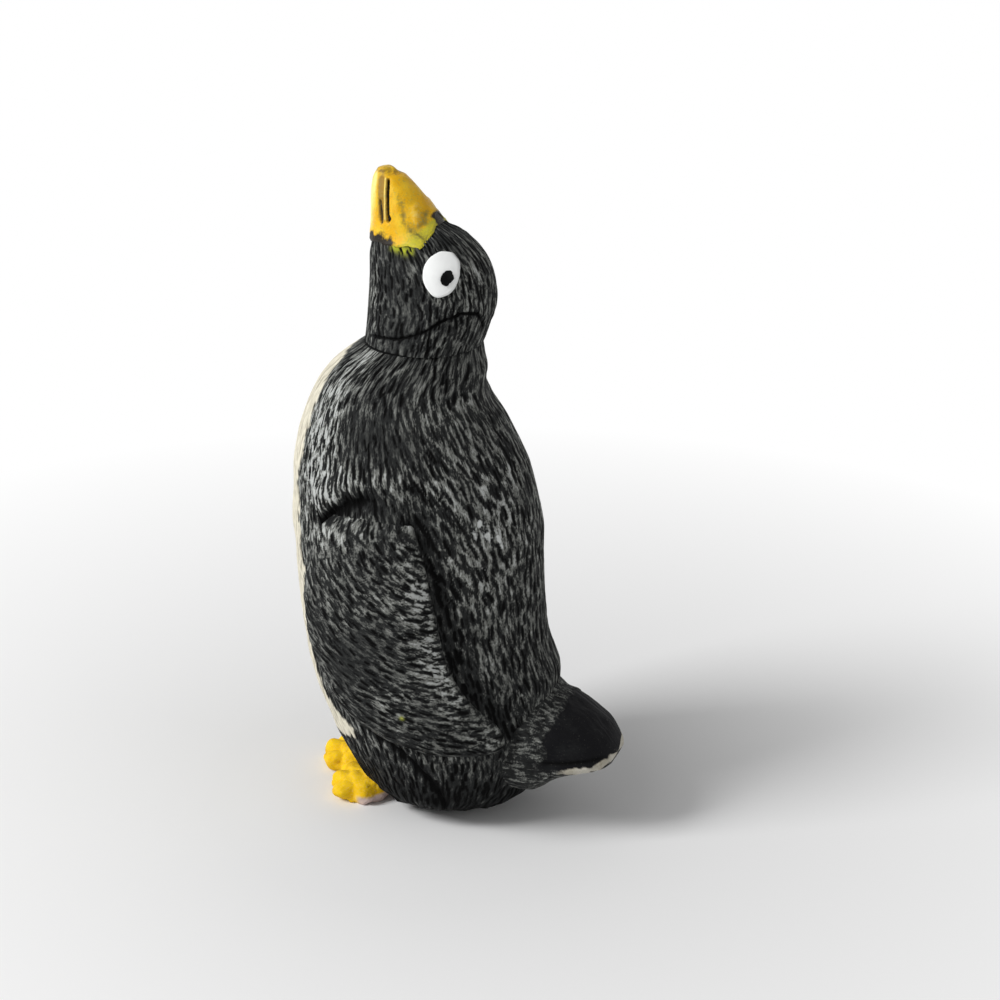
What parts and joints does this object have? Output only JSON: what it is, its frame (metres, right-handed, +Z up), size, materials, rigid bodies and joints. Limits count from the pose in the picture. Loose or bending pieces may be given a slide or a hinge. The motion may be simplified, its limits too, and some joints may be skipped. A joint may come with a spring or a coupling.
{
  "type": "penguin figurine",
  "caption": "Small painted penguin figurine standing with its beak raised, with flippers at its sides, a short tail, splayed feet and a head that turns at the neck.",
  "frame": {"origin": "on the flat underside that the figurine stands on, straight below the axis of the neck", "axes": "+Z up, the penguin faces -Y, its left side is +X"},
  "size_m": [0.0224, 0.0305, 0.0596],
  "materials": {
    "charcoal_paint": "charcoal paint over fine feather carving, worn grey on the ridges, cream belly",
    "black_paint": "near-black paint with a cream rim at the tip",
    "yellow_paint": "satin yellow paint with a dark wash in the grooves",
    "foot_paint": "satin yellow paint over bare pinkish plastic at the soles",
    "white_paint": "satin white paint",
    "black_bead": "glossy black"
  },
  "bodies": {
    "torso": {"body": "charcoal_paint", "left_flipper": "charcoal_paint", "right_flipper": "charcoal_paint", "tail": "black_paint", "left_foot": "foot_paint", "right_foot": "foot_paint"},
    "head": {"head": "charcoal_paint", "beak": "yellow_paint", "left_eye": "white_paint", "right_eye": "white_paint", "left_pupil": "black_bead", "right_pupil": "black_bead"}
  },
  "joints": [
    {"name": "head_turn", "type": "hinge", "parent": "torso", "child": "head", "pos_m": [0, 0, 0.0444], "axis": [0, 0, 1], "continuous": true}
  ]
}
